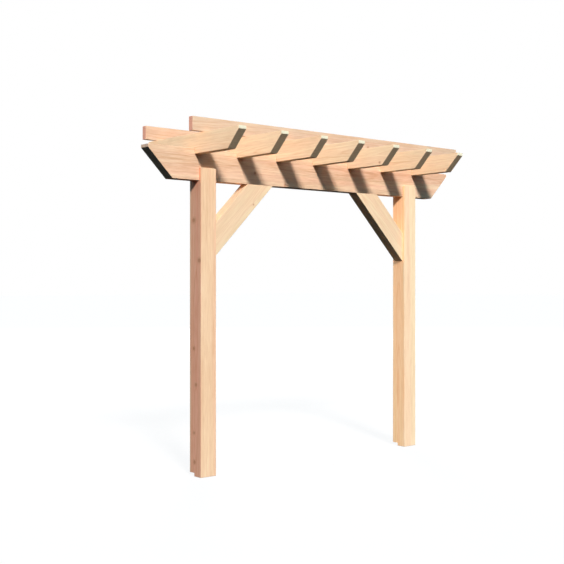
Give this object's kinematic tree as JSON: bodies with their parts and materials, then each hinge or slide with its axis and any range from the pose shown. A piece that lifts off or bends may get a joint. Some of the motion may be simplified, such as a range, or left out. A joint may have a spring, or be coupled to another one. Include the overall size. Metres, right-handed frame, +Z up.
{
  "type": "wooden pergola arch",
  "caption": "Two-post timber pergola arch: long shaped beam on housed posts, notched rafters with sloped noses, battens on top and corner braces.",
  "frame": {"origin": "on the left post's axis at the flat sole of its foot", "axes": "+X along the beam from the left post to the right post, +Y from front to back along the rafters, +Z up"},
  "size_m": [2.76, 0.98, 2.263],
  "materials": {
    "left_post_timber": "sawn softwood, straight grain",
    "right_post_timber": "sawn softwood, straight grain",
    "beam_timber": "sawn softwood, fine lengthwise grain",
    "rafter_timber": "sawn softwood, fine lengthwise grain",
    "batten_timber": "sawn softwood, fine lengthwise grain",
    "brace_timber": "sawn softwood, straight grain"
  },
  "bodies": {
    "root": {"left_post": "left_post_timber", "right_post": "right_post_timber", "main_beam": "beam_timber", "rafter_1": "rafter_timber", "rafter_2": "rafter_timber", "rafter_3": "rafter_timber", "rafter_4": "rafter_timber", "rafter_5": "rafter_timber", "rafter_6": "rafter_timber", "rafter_7": "rafter_timber", "front_batten": "batten_timber", "back_batten": "batten_timber", "left_brace": "brace_timber", "right_brace": "brace_timber"}
  },
  "joints": []
}
